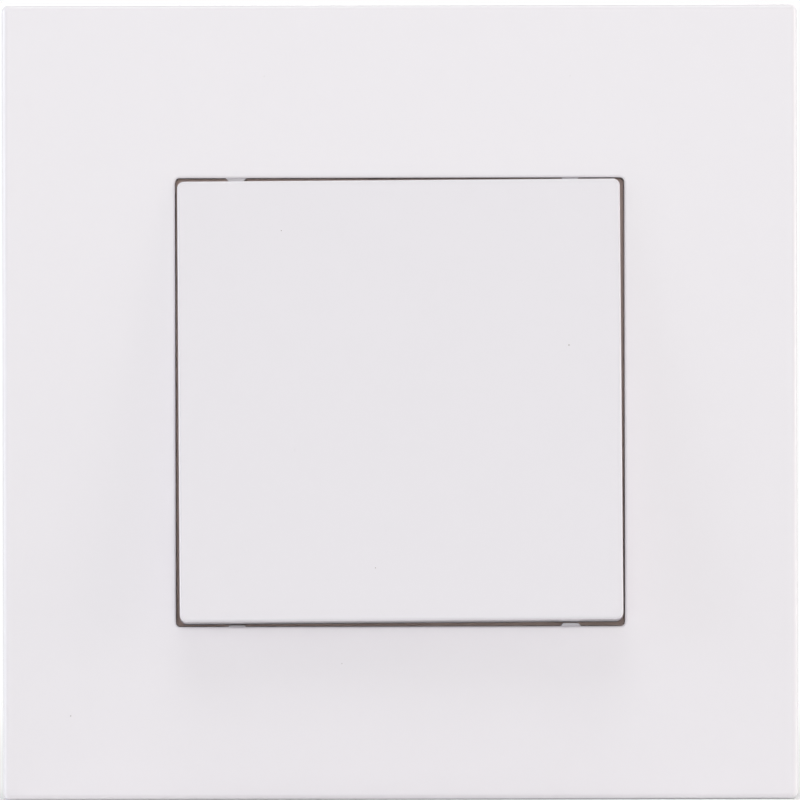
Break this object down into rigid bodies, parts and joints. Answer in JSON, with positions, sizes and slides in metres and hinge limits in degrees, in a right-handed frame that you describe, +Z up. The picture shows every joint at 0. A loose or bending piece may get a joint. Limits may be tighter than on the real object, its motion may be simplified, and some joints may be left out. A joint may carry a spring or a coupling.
{
  "type": "two-way light switch",
  "caption": "Two-way wall light switch: a square plate with a large rocker in front, and behind it a steel frame and a housing with push-in terminals.",
  "frame": {"origin": "centre of the fixing slots, on the wall plane", "axes": "+X to the right seen from the front, +Y into the wall, +Z up; the front faces -Y"},
  "size_m": [0.08, 0.0344, 0.08],
  "materials": {
    "plate_white": "gloss",
    "rocker_white": "gloss",
    "cradle_grey": "satin",
    "cover_beige": "matte",
    "housing_grey": "satin",
    "frame_steel": "zinc plated",
    "plunger_natural": "satin",
    "spring_steel": "bright",
    "lever_copper": "bright",
    "contact_silver": "bright",
    "terminal_brass": "bright",
    "release_orange": "satin"
  },
  "bodies": {
    "base": {"front_plate": "plate_white", "mounting_frame": "frame_steel", "mechanism_cover": "cover_beige", "rear_housing": "housing_grey", "terminal_cover": "housing_grey", "common_terminal": "terminal_brass", "traveller_terminal_upper": "terminal_brass", "traveller_terminal_lower": "terminal_brass", "fixed_contact_upper": "contact_silver", "fixed_contact_lower": "contact_silver", "pivot_pin": "spring_steel", "clamp_spring_common": "spring_steel", "clamp_spring_upper": "spring_steel", "clamp_spring_lower": "spring_steel"},
    "rocker": {"rocker_cap": "rocker_white", "rocker_cradle": "cradle_grey", "plunger_spring": "spring_steel"},
    "plunger": {"plunger": "plunger_natural"},
    "contact_lever": {"contact_lever": "lever_copper", "moving_contact_upper": "contact_silver", "moving_contact_lower": "contact_silver"},
    "release_common": {"release_lever_common": "release_orange"},
    "release_upper": {"release_lever_upper": "release_orange"},
    "release_lower": {"release_lever_lower": "release_orange"}
  },
  "joints": [
    {"name": "rocker_tilt", "type": "hinge", "parent": "base", "child": "rocker", "pos_m": [0, -0.0067, 0], "axis": [1, 0, 0], "range_deg": [0, 8]},
    {"name": "lever_tilt", "type": "hinge", "parent": "base", "child": "contact_lever", "pos_m": [0, 0.00815, 0], "axis": [1, 0, 0], "range_deg": [-12, 0]},
    {"name": "plunger_slide", "type": "slide", "parent": "rocker", "child": "plunger", "axis": [0, -0.9976, 0.0698], "range_m": [0, 0.0012], "stiffness_N_per_m": 800, "springref_m": -0.001, "deforming": ["plunger_spring"]},
    {"name": "release_common_press", "type": "slide", "parent": "base", "child": "release_common", "axis": [0, -1, 0], "range_m": [0, 0.0012], "stiffness_N_per_m": 500, "springref_m": -0.0006, "deforming": ["clamp_spring_common"]},
    {"name": "release_upper_press", "type": "slide", "parent": "base", "child": "release_upper", "axis": [0, -1, 0], "range_m": [0, 0.0012], "stiffness_N_per_m": 500, "springref_m": -0.0006, "deforming": ["clamp_spring_upper"]},
    {"name": "release_lower_press", "type": "slide", "parent": "base", "child": "release_lower", "axis": [0, -1, 0], "range_m": [0, 0.0012], "stiffness_N_per_m": 500, "springref_m": -0.0006, "deforming": ["clamp_spring_lower"]}
  ],
  "couplings": [
    {"joint": "lever_tilt", "follows": "rocker_tilt", "ratio": -1.5}
  ]
}
